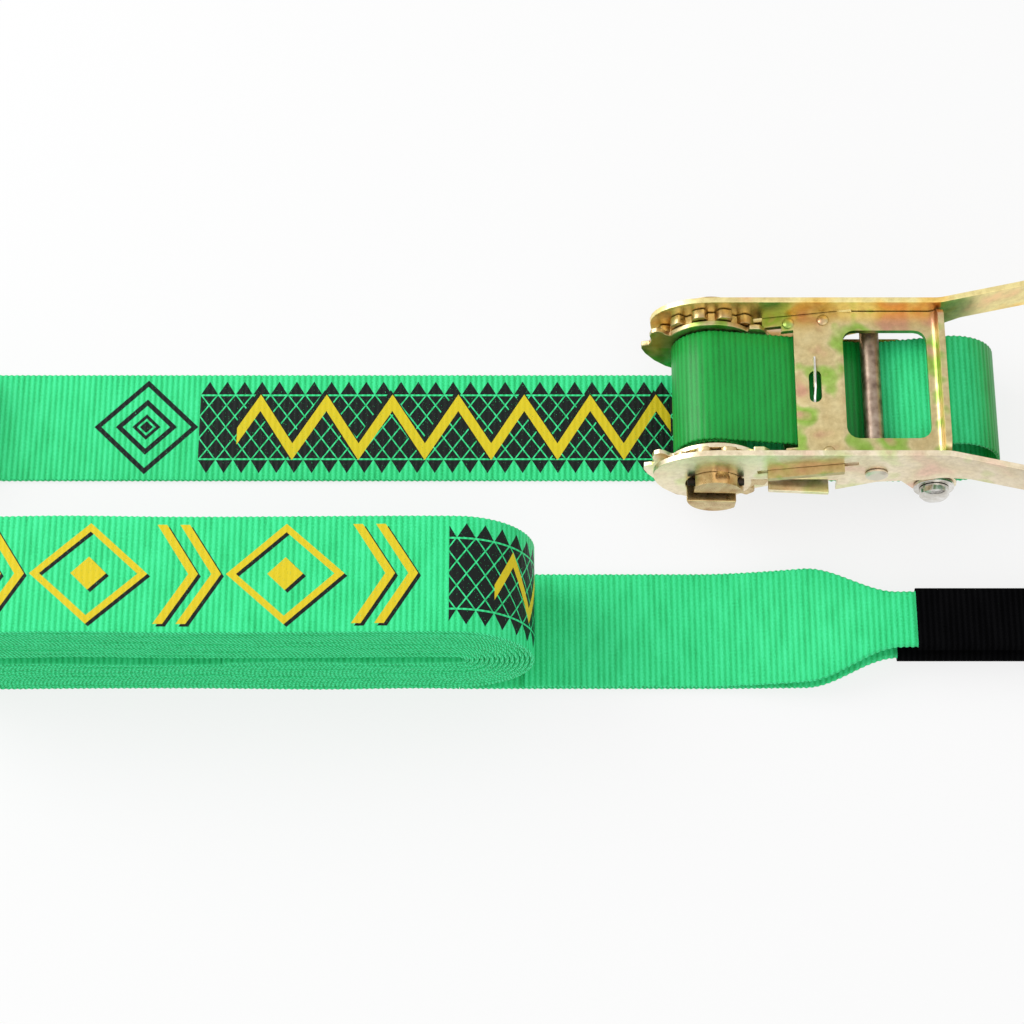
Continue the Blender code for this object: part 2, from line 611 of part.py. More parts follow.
# Drive pawl: a bent plate, kept inside its plan and its end view, then pierced
flat_z = pawl_line(PAWL_BEND_DX)
profile = [(PAWL_START_DX, PAWL_START_DZ), (PAWL_BEND_DX, flat_z), (PAWL_LIP_DX, flat_z),
           (PAWL_LIP_DX, PAWL_LIP_DZ)]
profile = rounded(profile, PAWL_BEND_R)
pawl = prism("drive_pawl", sheet_outline(profile, PAWL_THICK), -tab_out - OVERRUN, tab_out + OVERRUN,
             DRIVE, ZINC)
wide = HANDLE_IN - CLEAR
half_plan = [(PAWL_EDGE_DX, BASE_IN), (PAWL_SHOULDER_DX, BASE_IN), (PAWL_SHOULDER_DX, inner),
             (pawl_nose, inner), (pawl_nose, tab_out), (tab_end, tab_out), (tab_end, wide),
             (PAWL_LIP_DX + PAWL_THICK, wide)]
plan = half_plan + [(x, -y) for x, y in half_plan[::-1]]
boolean(pawl, prism("keep_pawl_plan", plan, 0, PAWL_LIP_DZ + OVERRUN, DRIVE, along="Z"), "INTERSECT")
corner = wide - LIP_CORNER_R
view = [(-tab_out - OVERRUN, 0), (tab_out + OVERRUN, 0), (tab_out + OVERRUN, flat_z + PAWL_THICK),
        (wide, flat_z + PAWL_THICK)]
view += arc((corner, PAWL_LIP_DZ - LIP_CORNER_R), LIP_CORNER_R, 0, math.pi / 2, 5)
view += arc((-corner, PAWL_LIP_DZ - LIP_CORNER_R), LIP_CORNER_R, math.pi / 2, math.pi, 5)
view += [(-wide, flat_z + PAWL_THICK), (-tab_out - OVERRUN, flat_z + PAWL_THICK)]
boolean(pawl, prism("keep_pawl_end", view, 0, PAWL_LIP_DX + OVERRUN, DRIVE, along="X"), "INTERSECT")
left, right = WINDOW_DX
corners = ((right, WINDOW_HALF, 0), (left, WINDOW_HALF, 1), (left, -WINDOW_HALF, 2),
           (right, -WINDOW_HALF, 3))
window = []
for x, y, quarter in corners:
    cx = x + (WINDOW_R if quarter in (1, 2) else -WINDOW_R)
    cy = y - math.copysign(WINDOW_R, y)
    window += arc((cx, cy), WINDOW_R, quarter * math.pi / 2, (quarter + 1) * math.pi / 2, 4)
boolean(pawl, prism("cut_window", window, 0, PAWL_LIP_DZ, DRIVE, along="Z"))
oval = arc((HOOK_SLOT_DX, HOOK_SLOT_HALF - HOOK_SLOT_R), HOOK_SLOT_R, 0, math.pi, 8)
oval += arc((HOOK_SLOT_DX, HOOK_SLOT_R - HOOK_SLOT_HALF), HOOK_SLOT_R, math.pi, 2 * math.pi, 8)
boolean(pawl, prism("cut_hook_slot", oval, 0, PAWL_LIP_DZ, DRIVE, along="Z"))

# A raised dimple on each shoulder, turned about the plate's normal and sunk a little into it
for side, sign in (("far", 1), ("near", -1)):
    verts = []
    steps = 20
    for share in (-1.0, 0.0, 0.5, 0.85, 1.0):
        radius = DIMPLE_R * math.sqrt(1 - max(share, 0.0) ** 2 * (1 - CLEAR / DIMPLE_R))
        up = PAWL_THICK / 2 + DIMPLE_HIGH * share
        for k in range(steps):
            a = 2 * math.pi * k / steps
            along = radius * math.cos(a)
            verts.append((DIMPLE_DX + along * SLOPE[0] - up * SLOPE[1],
                          sign * (wide - DIMPLE_IN) + radius * math.sin(a),
                          pawl_line(DIMPLE_DX) + along * SLOPE[1] + up * SLOPE[0]))
    faces = [list(range(steps)), list(range(4 * steps, 5 * steps))]
    for row in range(4):
        here = row * steps
        for k in range(steps):
            n = (k + 1) % steps
            faces.append((here + k, here + n, here + steps + n, here + steps + k))
    boolean(pawl, add("dimple_" + side, verts, faces, DRIVE), "UNION")

# The pawl's wire spring: its hook lies on the plate and dips through the oval slot
over = pawl_line(HOOK_SLOT_DX) + PAWL_THICK / 2 / SLOPE[0] + WIRE_R + CLEAR
under = pawl_line(HOOK_SLOT_DX) - PAWL_THICK / 2 / SLOPE[0] - WIRE_R - CLEAR
levels = (over, over, over - WIRE_R, under, under - WIRE_R, under - WIRE_R)
hook = [(HOOK_SLOT_DX, HOOK_SLOT_HALF * share, level) for share, level in zip(HOOK_SHARES, levels)]
wire("drive_pawl_spring", hook, WIRE_R, DRIVE, BRIGHT, resolution=1)

# Webbing wound on the spindle: out of the slot, round its edge, then round the shaft
bend = (WIND_START_R - BEND_R, BEND_R)
wind = [(-SHAFT_R + SHAFT_SLOT / 4, 0), (0, 0)] + arc(bend, BEND_R, -math.pi / 2, 0, 4)
first = math.atan2(BEND_R, WIND_START_R)
start_r = math.hypot(BEND_R, WIND_START_R)
steps = math.ceil(24 * WIND_TURNS)
for k in range(1, steps + 1):
    a = first + 2 * math.pi * WIND_TURNS * k / steps
    r = start_r + PITCH * WIND_TURNS * k / steps
    wind.append((r * math.cos(a), r * math.sin(a)))
c, s = math.cos(SLOT_TILT), math.sin(SLOT_TILT)
wind = [(x * c - z * s, x * s + z * c) for x, z in wind]
ribbon("spindle_winding", wind, STRAP_ASIDE, SPINDLE, GREEN)

# Ratchet strap: floor run, bight behind the bolt, under the cross rod, over and round the winding
floor_z = FLOOR + WEB_THICK / 2
bight = ((BIGHT_REACH, floor_z + BIGHT_R), BIGHT_R)
rod = (cross, -(CROSS_R + CLEAR + WEB_THICK / 2))
wrap = ((0, 0), WRAP_R)
off_bight, on_rod = tangent(bight, rod)
off_rod, on_wrap = tangent(rod, wrap)
strap = [(x, floor_z) for x in np.linspace(-STRAP_RUN_LENGTH, BIGHT_REACH, 9)[:-1]]
strap += arc(bight[0], BIGHT_R, -math.pi / 2, angle(off_bight, bight[0]), 14)
strap += arc(cross, -rod[1], angle(on_rod, cross), angle(off_rod, cross), 3)
strap += arc((0, 0), WRAP_R, angle(on_wrap, (0, 0)), WRAP_END, 14)
ribbon("ratchet_strap", strap, STRAP_ASIDE, BASE, GREEN)
spare = flat_roll(-STRAP_RUN_LENGTH - CLEAR + CORE_R + PITCH * STRAP_ROLL_TURNS + WEB_THICK / 2,
                  STRAP_ROLL_LENGTH, STRAP_ROLL_TURNS)
ribbon("ratchet_strap_roll", spare, STRAP_ASIDE, BASE, GREEN)

# Line: a flat roll, the tail on the floor, and the eye that doubles back over it
line_middle = STRAP_ASIDE - LINE_OFFSET
line = flat_roll(LINE_ROLL_DX, LINE_ROLL_LENGTH, LINE_ROLL_TURNS)
ribbon("line_roll", line, line_middle, BASE, GREEN)
roll_end = line[0][0]
ribbon("line_tail", [(x, floor_z) for x in np.linspace(roll_end + CLEAR, LEG_SPLIT_DX - CLEAR, 5)],
       line_middle, BASE, GREEN)
sleeve_thick = FOLD_THICK + 2 * CLEAR + 2 * SLEEVE_WALL
low_z = FLOOR + sleeve_thick / 2
high_z = low_z + LEG_ARCH
eye_r = LEG_ARCH / 2
tip_x = EYE_DX - eye_r
legs = []
taper_from = LEG_SPLIT_DX + (SLEEVE_DX - LEG_SPLIT_DX) * TAPER_SHARE
for x in np.linspace(LEG_SPLIT_DX, SLEEVE_DX - SLEEVE_STAGGER, 14):
    t = ease((x - LEG_SPLIT_DX) / (SLEEVE_DX - SLEEVE_STAGGER - LEG_SPLIT_DX))
    legs.append((x, floor_z + (low_z - floor_z) * t, x))
legs += [(x, low_z, x) for x in np.linspace(SLEEVE_DX, tip_x, 6)]
bend_points = arc((tip_x, low_z + eye_r), eye_r, -math.pi / 2, math.pi / 2, 10)
legs += [(x, z, tip_x) for x, z in bend_points[1:]]
legs += [(x, high_z, x) for x in np.linspace(tip_x, SLEEVE_DX, 6)[1:]]
top_z = floor_z + PITCH
for x in np.linspace(SLEEVE_DX, LEG_SPLIT_DX, 16)[1:]:
    t = ease((x - LEG_SPLIT_DX) / (SLEEVE_DX - LEG_SPLIT_DX))
    legs.append((x, top_z + (high_z - top_z) * t, x))
legs += [(x, top_z, x) for x in np.linspace(LEG_SPLIT_DX, LEG_SPLIT_DX - LEG_OVERLAP_LENGTH, 5)[1:]]
fold = [ease(float(np.clip((x - taper_from) / (SLEEVE_DX - SLEEVE_STAGGER - taper_from), 0, 1)))
        for _, _, x in legs]
path = [(x, z) for x, z, _ in legs]
ribbon("line_eye", path, line_middle, BASE, GREEN,
       [WEB_WIDTH + (FOLD_WIDTH - WEB_WIDTH) * f for f in fold],
       [WEB_THICK + (FOLD_THICK - WEB_THICK) * f for f in fold])
first = next(k for k, (_, _, x) in enumerate(legs) if x >= SLEEVE_DX - SLEEVE_STAGGER - CLEAR)
last = max(k for k, (_, _, x) in enumerate(legs) if x >= SLEEVE_DX - CLEAR)
ribbon("line_sleeve", path[first:last + 1], line_middle, BASE, BLACK,
       FOLD_WIDTH + 2 * CLEAR + 2 * SLEEVE_WALL, sleeve_thick,
       hollow=(FOLD_WIDTH + 2 * CLEAR, FOLD_THICK + 2 * CLEAR))

for name, points in (("line_roll", line), ("ratchet_strap_roll", spare), ("spindle_winding", wind)):
    run = sum(math.dist(a, b) for a, b in zip(points, points[1:]))
    gap = least_gap(points, WEB_THICK, 3 * WEB_THICK)
    print("%s: %.3f m of webbing, least gap to itself %.2f mm" % (name, run, gap * 1000))
for name, points in (("ratchet_strap", strap), ("line_eye", path)):
    print("%s: %.3f m long" % (name, sum(math.dist(a, b) for a, b in zip(points, points[1:]))))
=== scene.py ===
# %% [markdown]
# A slackline kit: a hand ratchet on a short green strap, and the long line wound up flat beside it.
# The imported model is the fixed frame. Everything below is placed by it, in metres.

# %% Load the frame
import math

import bmesh
import bpy
import numpy as np
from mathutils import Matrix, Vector


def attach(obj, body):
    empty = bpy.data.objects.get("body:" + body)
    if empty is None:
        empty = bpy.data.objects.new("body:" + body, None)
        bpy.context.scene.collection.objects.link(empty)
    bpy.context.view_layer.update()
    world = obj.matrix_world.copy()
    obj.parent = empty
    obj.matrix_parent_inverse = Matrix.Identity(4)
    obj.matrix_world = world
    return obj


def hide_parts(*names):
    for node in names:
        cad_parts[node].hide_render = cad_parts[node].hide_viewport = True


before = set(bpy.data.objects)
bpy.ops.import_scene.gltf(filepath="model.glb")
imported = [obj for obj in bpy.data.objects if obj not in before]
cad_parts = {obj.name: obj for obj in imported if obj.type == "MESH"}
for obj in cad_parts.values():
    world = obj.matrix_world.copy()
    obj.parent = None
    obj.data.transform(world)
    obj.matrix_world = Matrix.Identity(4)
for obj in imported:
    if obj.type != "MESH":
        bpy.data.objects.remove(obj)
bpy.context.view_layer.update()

scene = bpy.context.scene
scene.view_settings.view_transform = "Standard"

# %% [markdown]
# The photograph looks down at 66 degrees from 1.2 m, square to the straps. The view centre is a point
# on the floor between the two straps, so both lie level across the picture.

# %% Camera
AIM = Vector((-0.1772, -0.0372, 0.0))
CAMERA_DISTANCE = 1.2
CAMERA_ELEVATION = math.radians(66.0)
SENSOR = 36.0
FOCAL_SHARE = 2868 / 1024      # focal length as a share of the picture's width

camera_data = bpy.data.cameras.new("camera")
camera_data.sensor_width = SENSOR
camera_data.lens = SENSOR * FOCAL_SHARE
camera_data.clip_start = 0.05
camera = bpy.data.objects.new("camera", camera_data)
scene.collection.objects.link(camera)
back = Vector((0, -math.cos(CAMERA_ELEVATION), math.sin(CAMERA_ELEVATION)))
camera.location = AIM + back * CAMERA_DISTANCE
camera.rotation_euler = back.to_track_quat("Z", "Y").to_euler()
scene.camera = camera
print("lens %.1f mm" % camera_data.lens)

# %% [markdown]
# Shader maths reads best as plain sums. This small class wraps one socket, and each operator on it
# adds the Math node that does that sum. Any other node comes from the one method `node`.


# %% A socket that can be used in sums
class Val:
    def __init__(self, tree, socket):
        self.tree = tree
        self.socket = socket

    def node(self, kind, settings=None, sockets=None, out=0):
        """Add any node: settings first, then the values or links of its sockets."""
        made = self.tree.nodes.new(kind)
        for key, value in (settings or {}).items():
            if key == "stops":
                elements = made.color_ramp.elements
                while len(elements) < len(value):
                    elements.new(0.5)
                for element, (place, colour) in zip(elements, value):
                    element.position = place
                    element.color = (*colour, 1)
            else:
                setattr(made, key, value)
        for key, value in (sockets or {}).items():
            if isinstance(value, Val):
                self.tree.links.new(value.socket, made.inputs[key])
            else:
                made.inputs[key].default_value = value
        return Val(self.tree, made.outputs[out])

    def sum(self, operation, *others):
        values = dict(enumerate((self, *others)))
        return self.node("ShaderNodeMath", {"operation": operation}, values)

    def __add__(self, other): return self.sum("ADD", other)
    def __mul__(self, other): return self.sum("MULTIPLY", other)
    def __sub__(self, other): return self.sum("SUBTRACT", other)
    def __rsub__(self, other): return (self * -1) + other
    def __abs__(self): return self.sum("ABSOLUTE")
    def __lt__(self, other): return self.sum("LESS_THAN", other)
    def __gt__(self, other): return self.sum("GREATER_THAN", other)
    def __mod__(self, other): return self.sum("FLOORED_MODULO", other)
    def __and__(self, other): return self.sum("MINIMUM", other)
    def __or__(self, other): return self.sum("MAXIMUM", other)

    def wave(self, period):
        """1 on each crest and 0 in each trough."""
        return (self * (2 * math.pi / period)).sum("COSINE") * 0.5 + 0.5

    def fold(self, half):
        """Up from 0 to half and down again, over and over."""
        return self.sum("PINGPONG", half)

    def mix(self, low, high):
        """Colour low where this is 0, and high where it is 1."""
        return self.node("ShaderNodeMix", {"data_type": "RGBA"}, {0: self, 6: low, 7: high}, out=2)


# %% [markdown]
# Every finish starts the same way: a Principled shader, and one value to start sums from.


# %% Start a material
def new_material(name, **constants):
    mat = bpy.data.materials.new(name)
    mat.use_nodes = True
    shader = mat.node_tree.nodes["Principled BSDF"]
    for key, value in constants.items():
        shader.inputs[key.replace("_", " ")].default_value = value
    start = Val(mat.node_tree, None)
    return mat, start, shader


def feed(start, shader, **links):
    """Link values to the shader's sockets. A socket's name has _ where there is a space."""
    for key, value in links.items():
        start.tree.links.new(value.socket, shader.inputs[key.replace("_", " ")])


def rgb(red, green, blue):
    """A colour as it is seen on screen, 0 to 255, turned into the linear values that shaders use."""
    parts = [v / 255 for v in (red, green, blue)]
    return (*[v / 12.92 if v <= 0.04045 else ((v + 0.055) / 1.055) ** 2.4 for v in parts], 1)


# %% [markdown]
# Slackline webbing is woven flat, 50 mm wide, with raised ribs across it. The ribs and the notched
# edge are real shape here, and only the yarns in them are bump. A strip carries two measures as its
# UV map, in metres: how far round its section a point is, and how far along the strip.

# %% Webbing: sizes
WEB_WIDTH = 0.050
WEB_THICK = 0.0015
RIB = 0.00235            # from rib to rib
RIB_HIGH = 0.00006
NOTCH = 0.00038          # how far the edge draws in between ribs
BODY = WEB_THICK - 2 * RIB_HIGH
LAYER_GAP = 0.0005
ROLL_THICK = 0.0018 - 2 * RIB_HIGH   # webbing in a roll is slack, and fills the gaps
CLEAR = 0.0003
PITCH = WEB_THICK + LAYER_GAP   # from layer to layer


# %% Webbing: a strip along a line
def lengths_along(points):
    """How far along the line each of its points is."""
    runs = np.linalg.norm(np.diff(np.array(points, float), axis=0), axis=1)
    return np.concatenate([[0], np.cumsum(runs)])


def spread_along(points, step):
    """Points at an even step on the same line, with how far along each one is."""
    line, along = np.array(points, float), lengths_along(points)
    at = np.linspace(0, along[-1], max(2, round(along[-1] / step)) + 1)
    return np.stack([np.interp(at, along, line[:, k]) for k in range(line.shape[1])], axis=1), at


def normals_of(line):
    """The direction square to the line in XZ, to the left of its way, at each point."""
    way = np.gradient(line, axis=0)
    way /= np.linalg.norm(way, axis=1)[:, None]
    return np.stack([-way[:, 1], way[:, 0]], axis=1)


def smooth_piece(name, mesh):
    """An object of the mesh, with all its faces turned outward and shaded smooth."""
    work = bmesh.new()
    work.from_mesh(mesh)
    bmesh.ops.recalc_face_normals(work, faces=work.faces)
    work.to_mesh(mesh)
    work.free()
    mesh.shade_smooth()
    obj = bpy.data.objects.new(name, mesh)
    scene.collection.objects.link(obj)
    return obj


FACE_SHARES = (-1, -0.5, 0, 0.5, 1)   # rows of points across each flat face, from edge to edge


def strip(name, points, middle, step=RIB / 6, widths=None, thicks=None, sway=0.0):
    """A closed, ribbed strip that follows points in XZ, with its width along Y.

    Widths and thicks are pairs of lists: places along the strip, and the sizes there. The strip
    drifts up to sway to either side, as layers of a roll do.
    """
    line, at = spread_along(points, step)
    count = len(line)
    wide = np.full(count, WEB_WIDTH) if widths is None else np.interp(at, *widths)
    thick = np.full(count, BODY) if thicks is None else np.interp(at, *thicks)
    up = normals_of(line)
    rib = 0.5 + 0.5 * np.cos(2 * np.pi * at / RIB)
    half = wide / 2 - NOTCH * (1 - rib)
    flat = half - thick / 2
    lift = thick / 2 + RIB_HIGH * rib
    drift = sway * np.sin(at * 61.0 + 1.3 * np.sin(at * 23.0))
    rows, across = [], []
    for share in FACE_SHARES:
        rows.append((flat * share, lift))
        across.append(flat * share)
    for turn in (45, 0, -45):
        a = math.radians(turn)
        rows.append((flat + thick / 2 * math.cos(a), lift * math.sin(a)))
        across.append(flat + thick / 2 * math.radians(90 - turn))
    for share in FACE_SHARES[::-1]:
        rows.append((flat * share, -lift))
        across.append(WEB_WIDTH - flat * share)
    for turn in (225, 180, 135):
        a = math.radians(turn)
        rows.append((thick / 2 * math.cos(a) - flat, lift * math.sin(a)))
        across.append(-flat - thick / 2 * math.radians(turn - 90))
    size = len(rows)
    verts = np.zeros((count, size, 3))
    for k, (y, z) in enumerate(rows):
        verts[:, k, 0] = line[:, 0] + up[:, 0] * z
        verts[:, k, 2] = line[:, 1] + up[:, 1] * z
        verts[:, k, 1] = middle + y + drift
    ring = np.arange(size)
    base = np.arange(count - 1)[:, None] * size
    nxt = (ring + 1) % size
    faces = np.stack([base + ring, base + nxt, base + nxt + size, base + ring + size], axis=2)
    faces = faces.reshape(-1, 4).tolist()
    faces += [list(range(size))[::-1], list(range((count - 1) * size, count * size))]
    mesh = bpy.data.meshes.new(name)
    mesh.from_pydata(verts.reshape(-1, 3).tolist(), [], faces)
    layer = mesh.uv_layers.new(name="strip")
    round_it = np.stack(across, axis=1)
    both = np.stack([round_it, np.broadcast_to(at[:, None], round_it.shape)], axis=2)
    both = both.reshape(-1, 2)
    corners = np.zeros(len(mesh.loops), dtype=np.int32)
    mesh.loops.foreach_get("vertex_index", corners)
    layer.data.foreach_set("uv", both[corners].ravel())
    mesh.validate()
    mesh.update()
    obj = smooth_piece(name, mesh)
    print("%s: %.3f m, %d faces" % (name, at[-1], len(mesh.polygons)))
    return obj, at[-1]


# %% [markdown]
# The green yarn varies in tone at random. Its ribs carry painted shade between them and painted light on
# their crests, and the selvedge shows slanted yarns. A print can lie over it: it gives one mask for
# black ink and one for yellow.
# Webbing pulled taut in the ratchet gets painted shade, a darker colour, and is glossier.

# %% Webbing: finish
GREEN_LIGHT = rgb(70, 224, 154)
GREEN_MAIN = rgb(40, 196, 118)
GREEN_DEEP = rgb(6, 132, 62)
INK_BLACK = rgb(2, 14, 9)
INK_YELLOW = rgb(200, 180, 24)
PAINTED_SHADE_TINT = (0.05, 0.46, 0.16, 1)      # painted shade: webbing in the ratchet is its usual colour times this
TIGHT_COAT = 0.22
FADE = 0.006                        # over how far the painted shade and coat fade in and out, to each side
FACE = WEB_WIDTH / 2 - 0.0006       # how far the flat, ribbed face reaches to each side
EDGE_MIDDLE = WEB_WIDTH / 2 + 0.0006
EDGE_END = WEB_WIDTH / 2 + 0.0010
EDGE_YARN = 0.0016                  # from yarn to slanted yarn, along the edge
EDGE_SLANT = 1.4
YARN_ACROSS, YARN_ALONG = 1300.0, 2600.0   # how fine the yarn's noise is, per metre
CLOUD_ACROSS, CLOUD_ALONG = 60.0, 190.0


def webbing_finish(name, artwork=None, tones=(GREEN_DEEP, GREEN_MAIN, GREEN_LIGHT), shade_and_coat_spans=(),
                   gloss=0.22):
    """Ribbed yarn in three tones. The spans list where the webbing is taut in the ratchet, from and to
    along the strip, and there it gets painted shade and a coat.
    """
    mat, start, shader = new_material(name, Specular_IOR_Level=gloss)
    uv = start.node("ShaderNodeUVMap", {"uv_map": "strip"})
    apart = uv.node("ShaderNodeSeparateXYZ", None, {0: uv})
    u = apart
    v = Val(mat.node_tree, apart.socket.node.outputs[1])
    place = u.node("ShaderNodeCombineXYZ", None, {0: u * YARN_ACROSS, 1: v * YARN_ALONG})
    yarn = u.node("ShaderNodeTexNoise", None, {"Vector": place, "Scale": 1.0, "Detail": 2.0})
    place = u.node("ShaderNodeCombineXYZ", None, {0: u * CLOUD_ACROSS, 1: v * CLOUD_ALONG})
    broad = u.node("ShaderNodeTexNoise", None, {"Vector": place, "Scale": 1.0, "Detail": 2.0})
    round_it = abs(u)
    edge = (round_it > FACE) & (round_it < EDGE_END)
    rib = (v + yarn * 0.0004).wave(RIB)
    slanted = v + abs(round_it - EDGE_MIDDLE) * EDGE_SLANT
    cross = slanted.wave(EDGE_YARN) * 2.8 - 0.7
    weave = rib * (1 - edge) + cross * edge
    # The weave term is painted shade between the ribs and painted light on their crests, with light and
    # dark stripes along the selvedge's slanted yarns. The yarn and cloud noise is the webbing's own
    # tone.
    tone = weave * 0.34 + yarn * 0.80 + broad * 0.50 - 0.30
    low = tone.node("ShaderNodeMapRange", {"clamp": True}, {0: tone, 1: 0.0, 2: 0.5})
    high = tone.node("ShaderNodeMapRange", {"clamp": True}, {0: tone, 1: 0.45, 2: 1.0})
    colour = high.mix(low.mix(tones[0], tones[1]), tones[2])
    # Painted shade: where the webbing is taut in the ratchet its colour is darkened, and it gets a coat.
    if shade_and_coat_spans:
        painted_shade = v.node("ShaderNodeMix", {"data_type": "RGBA", "blend_type": "MULTIPLY"},
                      {0: 1.0, 6: colour, 7: PAINTED_SHADE_TINT}, out=2)
        share = v * 0.0
        for first, last in shade_and_coat_spans:
            up = v.node("ShaderNodeMapRange", {"clamp": True}, {0: v, 1: first - FADE, 2: first + FADE})
            down = v.node("ShaderNodeMapRange", {"clamp": True}, {0: v, 1: last + FADE, 2: last - FADE})
            share = share | (up & down)
        colour = share.mix(colour, painted_shade)
        shader.inputs["Coat Roughness"].default_value = 0.30
        feed(start, shader, Coat_Weight=share * TIGHT_COAT)
    if artwork:
        black, yellow = artwork(u, v)
        colour = (black * (yarn > 0.30)).mix(colour, INK_BLACK)
        colour = (yellow * (yarn > 0.32)).mix(colour, INK_YELLOW)
    height = weave * 0.55 + yarn * 0.6
    bump = height.node("ShaderNodeBump", None,
                       {"Strength": 0.55, "Distance": 0.00014, "Height": height})
    feed(start, shader, Base_Color=colour, Normal=bump, Roughness=yarn * 0.20 + 0.40)
    return mat


# %% [markdown]
# The routes follow the solid model, in XZ. Both rolls are wound flat: each half turn draws in by half
# a layer, and only the bends are round. The line's roll is open along its middle, as a thin slit.

# %% Routes: the ratchet strap
SPINDLE = np.array((-0.094, 0.026))  # its axis, in XZ
SHAFT_R = 0.01175
WIND_TURNS = 0.45
BEND_R = 0.0018                     # where the winding leaves the shaft's slot
WIND_R = SHAFT_R + CLEAR + WEB_THICK / 2 + CLEAR / 2
WRAP_R = WIND_R + PITCH * WIND_TURNS + WEB_THICK + LAYER_GAP
CROSS = SPINDLE + (0.0652, 0.0100)  # the cross rod's axis, with the handle at rest
CROSS_R = 0.0040
BIGHT_R = 0.0183                    # the strap's bend behind the base bolt
BIGHT = np.array((SPINDLE[0] + 0.0998, WEB_THICK / 2 + BIGHT_R))
STRAP_LEFT = SPINDLE[0] - 0.3250    # where the strap goes on as its spare roll
WRAP_END = math.radians(285.0)      # how far the strap goes round the winding
FLOOR_Z = WEB_THICK / 2


def arc(centre, radius, start, end, steps):
    return [(centre[0] + radius * math.cos(start + (end - start) * k / steps),
             centre[1] + radius * math.sin(start + (end - start) * k / steps))
            for k in range(steps + 1)]


def tangent(c1, r1, c2, r2):
    """The straight run between two circles. A radius is positive where the strap turns left."""
    gap = np.subtract(c2, c1)
    way = math.atan2(gap[1], gap[0]) - math.asin((r2 - r1) / np.linalg.norm(gap))
    left = np.array((-math.sin(way), math.cos(way)))
    return c1 - left * r1, c2 - left * r2


def angle(point, centre):
    return math.atan2(point[1] - centre[1], point[0] - centre[0])


rod_r = CROSS_R + CLEAR + WEB_THICK / 2
off_bight, on_rod = tangent(BIGHT, BIGHT_R, CROSS, -rod_r)
off_rod, on_wrap = tangent(CROSS, -rod_r, SPINDLE, WRAP_R)
strap_line = [(STRAP_LEFT, FLOOR_Z), (BIGHT[0], FLOOR_Z)]
strap_line += arc(BIGHT, BIGHT_R, -math.pi / 2, angle(off_bight, BIGHT), 90)
strap_line += arc(CROSS, rod_r, angle(on_rod, CROSS), angle(off_rod, CROSS), 12)
strap_line += arc(SPINDLE, WRAP_R, angle(on_wrap, SPINDLE), WRAP_END, 90)
print("strap route: %d points" % len(strap_line))


# %% Routes: flat rolls and the winding
SPARE_LENGTH, SPARE_TURNS, SPARE_CORE = 0.088, 6, 0.00115   # the core is the innermost bend's radius
LINE_LENGTH, LINE_TURNS, LINE_CORE = 0.2514, 14, 0.00315
LINE_RIGHT = SPINDLE[0] - 0.0728
SLOT_INSET = 0.0009                 # the winding's inner end, in from the shaft's outside
WIND_STEPS = 120


def flat_roll(right, length, turns, core):
    """From the outer end at the right, along the floor to the left, and round inward."""
    outer = core + PITCH * turns
    centre = WEB_THICK / 2 + outer
    ends = (right - outer - WEB_THICK / 2, right - length + outer + WEB_THICK / 2)
    points, radius = [], outer
    for half in range(2 * turns):
        low = half % 2 == 0
        here, there = ends[half % 2], ends[1 - half % 2]
        level = centre + (-radius if low else radius)
        points += [(here + (there - here) * k / 6, level) for k in range(6)]
        start = -math.pi / 2 if low else math.pi / 2
        steps = 40 if radius > 0.01 else 20
        for k in range(steps):
            a = start - math.pi * k / steps
            r = radius - PITCH / 2 * k / steps
            points.append((there + r * math.cos(a), centre + r * math.sin(a)))
        radius -= PITCH / 2
    return points + [(ends[0], centre - radius), ((ends[0] + ends[1]) / 2, centre - radius)]


spare_right = STRAP_LEFT - CLEAR + SPARE_CORE + PITCH * SPARE_TURNS + WEB_THICK / 2
spare_line = flat_roll(spare_right, SPARE_LENGTH, SPARE_TURNS, SPARE_CORE)
roll_line = flat_roll(LINE_RIGHT, LINE_LENGTH, LINE_TURNS, LINE_CORE)
wind_line = [(SLOT_INSET - SHAFT_R, 0), (0, 0)]
wind_line += arc((WIND_R - BEND_R, BEND_R), BEND_R, -math.pi / 2, 0, 10)
start_a, start_r = math.atan2(BEND_R, WIND_R), math.hypot(BEND_R, WIND_R)
for k in range(1, WIND_STEPS + 1):
    turned = WIND_TURNS * k / WIND_STEPS
    a, r = start_a + 2 * math.pi * turned, start_r + PITCH * turned
    wind_line.append((r * math.cos(a), r * math.sin(a)))
tilt = math.radians(-3.0)
wind_line = [(SPINDLE[0] + x * math.cos(tilt) - z * math.sin(tilt),
              SPINDLE[1] + x * math.sin(tilt) + z * math.cos(tilt)) for x, z in wind_line]
print("roll route: %d points" % len(roll_line))

# %% Route: the tail and the eye, with its width as it is gathered into the sleeve
STRAP_Y = 0.0015
LINE_Y = STRAP_Y - 0.093
SPLIT_X = SPINDLE[0] - 0.0082       # where the eye's two legs part
SLEEVE_X = SPINDLE[0] + 0.0810      # where the sleeve starts on the upper leg
SLEEVE_STAGGER = 0.007              # how much further left it starts on the lower leg
EYE_X = SPINDLE[0] + 0.2010         # the eye's far end
FOLD_WIDTH, FOLD_THICK, SLEEVE_WALL = 0.0246, 0.0030, 0.0008
TAPER_SHARE = 0.50                  # how far from the split to the sleeve the gathering starts
SEWN_LENGTH = 0.070                 # the upper layer that is sewn down on the tail
LEG_ARCH = 0.0125                   # from the lower leg of the eye to the upper one
SLEEVE_THICK = FOLD_THICK + 2 * CLEAR + 2 * SLEEVE_WALL
low_z = SLEEVE_THICK / 2
high_z = low_z + LEG_ARCH
eye_r = LEG_ARCH / 2
tip_x = EYE_X - eye_r


def ease(t):
    t = min(1.0, max(0.0, t))
    return t * t * (3 - 2 * t)


